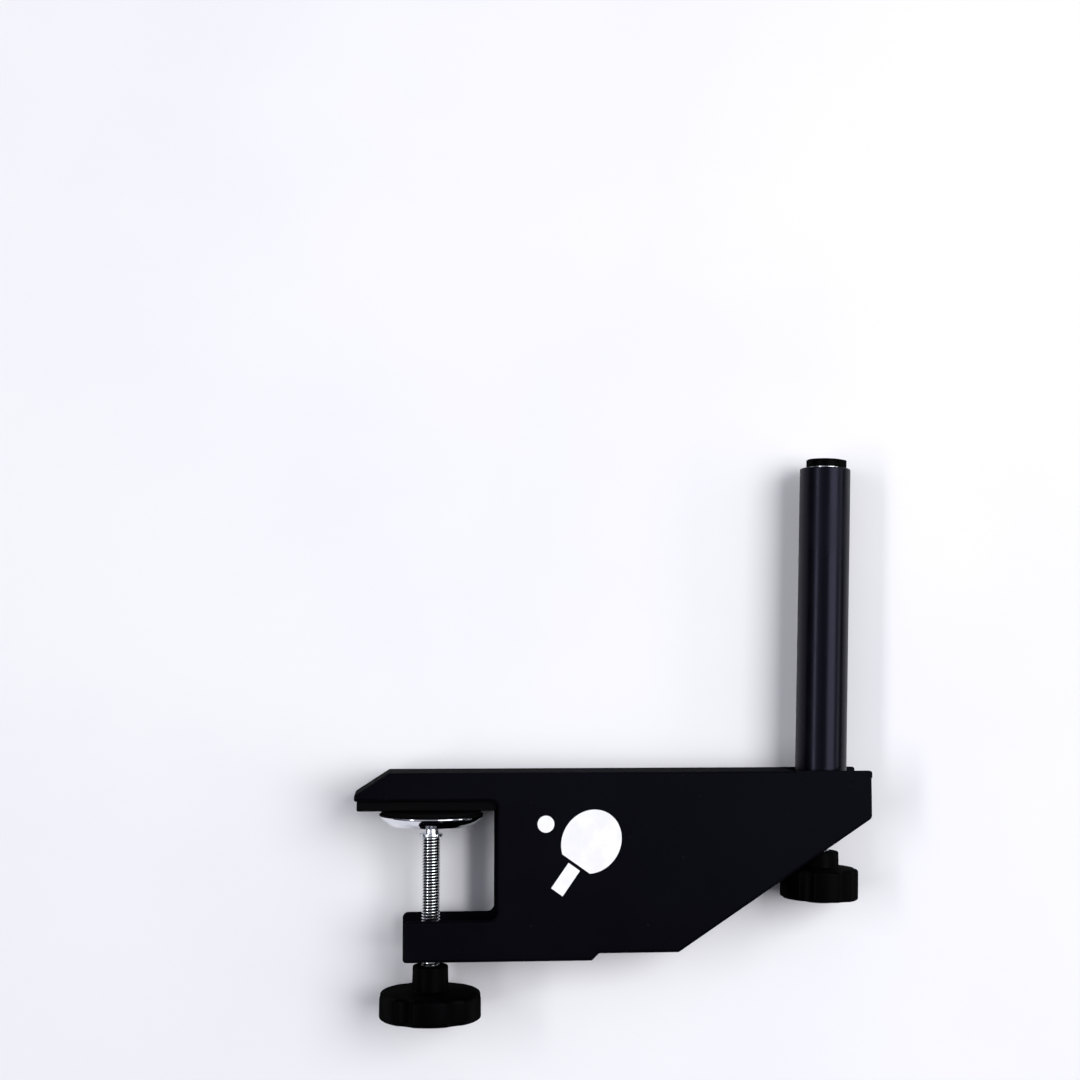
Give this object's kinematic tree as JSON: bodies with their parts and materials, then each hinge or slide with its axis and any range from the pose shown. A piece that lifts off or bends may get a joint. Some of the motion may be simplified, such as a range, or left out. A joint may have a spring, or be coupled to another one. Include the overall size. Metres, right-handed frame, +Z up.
{
  "type": "table tennis net clamp",
  "caption": "C-shaped table clamp carrying an upright net post, with a swivel-disc clamp screw below the table and a knob under the post that raises its cord cap.",
  "frame": {"origin": "underside of the jaw pad, where the table top touches, on the clamp screw's axis and on the body's middle plane", "axes": "+Z up as in use, +X away from the table towards the post, Y across the folded body"},
  "size_m": [0.2238, 0.045, 0.2449],
  "materials": {
    "body_coat": "satin powder coat",
    "post_coat": "satin paint",
    "zinc": "bright zinc plate",
    "chrome": "polished",
    "black_plastic": "fine moulded grain",
    "rubber": "matte"
  },
  "bodies": {
    "frame": {"frame_shell": "body_coat", "jaw_plate": "body_coat", "jaw_pad": "rubber", "clamp_nut": "zinc", "post_guide": "body_coat", "foot_bracket": "body_coat", "height_nut": "zinc", "post_tube": "post_coat", "post_bush": "black_plastic"},
    "slider": {"slider_foot": "zinc", "slider_tube": "zinc", "post_cap": "black_plastic"},
    "height_screw": {"height_screw": "zinc", "height_knob": "black_plastic", "height_knob_cap": "black_plastic"},
    "disc": {"clamp_dish": "chrome", "thrust_plate": "zinc", "dish_rubber": "rubber"},
    "clamp_screw": {"clamp_screw": "zinc", "clamp_clip": "zinc", "clamp_knob": "black_plastic", "clamp_knob_cap": "black_plastic"}
  },
  "joints": [
    {"name": "clamp_travel", "type": "slide", "parent": "frame", "child": "disc", "axis": [0, 0, 1], "range_m": [-0.032, 0.0004]},
    {"name": "clamp_turn", "type": "hinge", "parent": "disc", "child": "clamp_screw", "pos_m": [0, 0, -0.03], "axis": [0, 0, 1], "range_deg": [-9217, 116]},
    {"name": "cord_height", "type": "slide", "parent": "frame", "child": "slider", "axis": [0.0283, 0, 0.9996], "range_m": [-0.0002, 0.0022]},
    {"name": "height_turn", "type": "hinge", "parent": "slider", "child": "height_screw", "pos_m": [0.17083, 0, -0.01999], "axis": [0.0283, 0, 0.9996], "range_deg": [-58, 634]}
  ],
  "couplings": [
    {"joint": "clamp_turn", "follows": "clamp_travel", "rad_per_m": 5026.5},
    {"joint": "height_turn", "follows": "cord_height", "rad_per_m": 5026.5}
  ]
}
